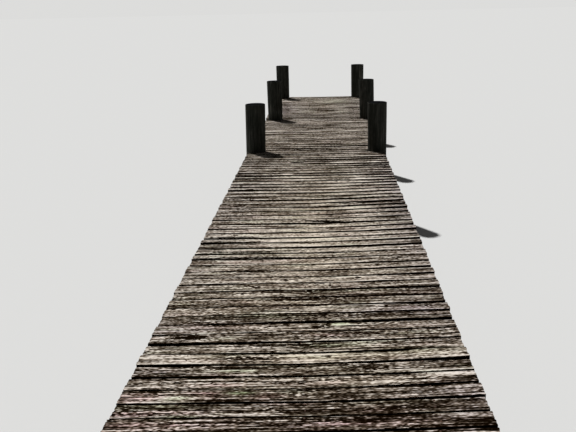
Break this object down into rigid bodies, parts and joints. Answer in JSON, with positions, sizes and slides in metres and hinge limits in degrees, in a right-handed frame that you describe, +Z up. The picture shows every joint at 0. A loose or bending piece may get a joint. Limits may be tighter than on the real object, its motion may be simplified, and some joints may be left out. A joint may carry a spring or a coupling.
{
  "type": "wooden jetty",
  "caption": "Narrow timber jetty: a deck of cross boards on stringers and paired cross beams, carried by round piles that rise past the deck as mooring posts at the head.",
  "frame": {"origin": "under the middle of the deck, at the level of the pile feet", "axes": "+X across the deck, +Y out along it from the land end to the head, +Z up"},
  "size_m": [1.7, 12.434, 1.331],
  "materials": {
    "deck_boards": "bare, weathered grey-brown with raised grain and open cracks",
    "pile_timber": "bare, nearly black with age, tops bleached grey",
    "frame_timber": "bare, damp and darkened sawn timber"
  },
  "bodies": {
    "root": {"pile_left_1": "pile_timber", "pile_left_2": "pile_timber", "pile_left_3": "pile_timber", "pile_left_4": "pile_timber", "pile_left_5": "pile_timber", "pile_left_6": "pile_timber", "pile_right_1": "pile_timber", "pile_right_2": "pile_timber", "pile_right_3": "pile_timber", "pile_right_4": "pile_timber", "pile_right_5": "pile_timber", "pile_right_6": "pile_timber", "cross_beam_inner_1": "frame_timber", "cross_beam_inner_2": "frame_timber", "cross_beam_inner_3": "frame_timber", "cross_beam_inner_4": "frame_timber", "cross_beam_inner_5": "frame_timber", "cross_beam_inner_6": "frame_timber", "cross_beam_outer_1": "frame_timber", "cross_beam_outer_2": "frame_timber", "cross_beam_outer_3": "frame_timber", "cross_beam_outer_4": "frame_timber", "cross_beam_outer_5": "frame_timber", "cross_beam_outer_6": "frame_timber", "stringer_left_1": "frame_timber", "stringer_left_2": "frame_timber", "stringer_left_3": "frame_timber", "stringer_left_4": "frame_timber", "stringer_left_5": "frame_timber", "stringer_middle_1": "frame_timber", "stringer_middle_2": "frame_timber", "stringer_middle_3": "frame_timber", "stringer_middle_4": "frame_timber", "stringer_middle_5": "frame_timber", "stringer_right_1": "frame_timber", "stringer_right_2": "frame_timber", "stringer_right_3": "frame_timber", "stringer_right_4": "frame_timber", "stringer_right_5": "frame_timber", "deck_bay_1": "deck_boards", "deck_bay_2": "deck_boards", "deck_bay_3": "deck_boards", "deck_bay_4": "deck_boards", "deck_bay_5": "deck_boards"}
  },
  "joints": []
}
